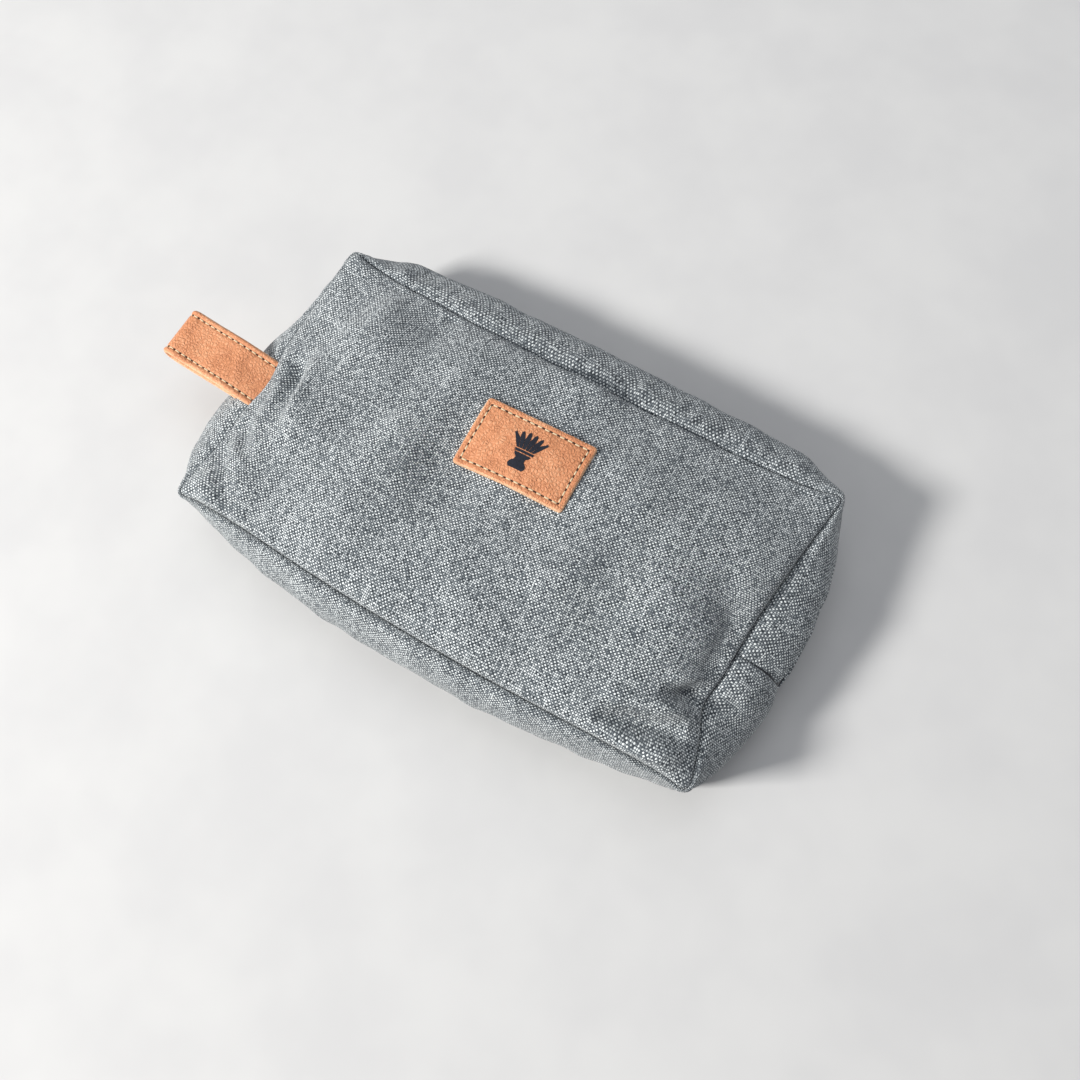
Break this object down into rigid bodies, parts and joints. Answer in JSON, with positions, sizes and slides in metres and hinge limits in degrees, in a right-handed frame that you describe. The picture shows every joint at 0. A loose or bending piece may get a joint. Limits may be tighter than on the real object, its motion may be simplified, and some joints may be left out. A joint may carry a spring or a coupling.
{
  "type": "toiletry bag",
  "caption": "Soft zipped toiletry bag of heather canvas lying on its back, with a leather carrying loop at one end and a stitched leather patch on the front.",
  "frame": {"origin": "middle of the back panel's outer face, on the surface that the bag lies on", "axes": "+X along the bag to the end without the loop, +Y to the zipped mouth, +Z out of the front panel, up as it lies"},
  "size_m": [0.3218, 0.1706, 0.0542],
  "materials": {
    "canvas": "heather-grey plain-weave canvas",
    "lining": "smooth dark polyester lining",
    "zip_tape": "woven dark grey zipper tape",
    "zip_teeth": "satin nylon coil",
    "zip_metal": "satin nickel",
    "binding": "ribbed bias tape",
    "leather": "pebbled tan leather, semi-matte",
    "thread": "waxed olive-cream thread",
    "print": "matt dark print"
  },
  "bodies": {
    "bag": {"front_panel": "canvas", "back_panel": "canvas", "bottom_gusset": "canvas", "zip_strip_front_left": "canvas", "zip_strip_front_right": "canvas", "zip_strip_back_left": "canvas", "zip_strip_back_right": "canvas", "lining_front": "lining", "lining_back": "lining", "lining_bottom": "lining", "lining_end_left": "lining", "lining_end_right": "lining", "zip_tape_left": "zip_tape", "zip_tape_right": "zip_tape", "zip_teeth_left": "zip_teeth", "zip_teeth_right": "zip_teeth", "seam_binding_front": "binding", "seam_binding_back": "binding", "patch": "leather", "patch_stitching": "thread", "patch_emblem": "print"},
    "mouth_front": {"zip_strip_front": "canvas", "zip_tape_front": "zip_tape", "zip_teeth_front": "zip_teeth", "lining_strip_front": "lining"},
    "mouth_back": {"zip_strip_back": "canvas", "zip_tape_back": "zip_tape", "zip_teeth_back": "zip_teeth", "lining_strip_back": "lining"},
    "slider": {"zip_slider": "zip_metal"},
    "pull": {"zip_pull": "zip_metal"},
    "loop": {"grab_loop": "leather", "loop_stitching": "thread"}
  },
  "joints": [
    {"name": "zip_slide", "type": "slide", "parent": "bag", "child": "slider", "axis": [-1, 0, 0], "range_m": [0, 0.196]},
    {"name": "pull_swing", "type": "hinge", "parent": "slider", "child": "pull", "pos_m": [0.098, 0.08565, 0.02], "axis": [0, 0, -1], "range_deg": [0, 170]},
    {"name": "mouth_open", "type": "hinge", "parent": "bag", "child": "mouth_front", "pos_m": [0, 0.0685, 0.04], "axis": [1, 0, 0], "range_deg": [0, 55]},
    {"name": "mouth_back_open", "type": "hinge", "parent": "bag", "child": "mouth_back", "pos_m": [0, 0.0685, 0], "axis": [1, 0, 0], "range_deg": [-10, 0]},
    {"name": "loop_swing", "type": "hinge", "parent": "bag", "child": "loop", "pos_m": [-0.1304, -0.006, 0.0429], "axis": [0, 1, 0], "range_deg": [0, 100]}
  ],
  "couplings": [
    {"joint": "mouth_back_open", "follows": "mouth_open", "ratio": -0.18}
  ]
}
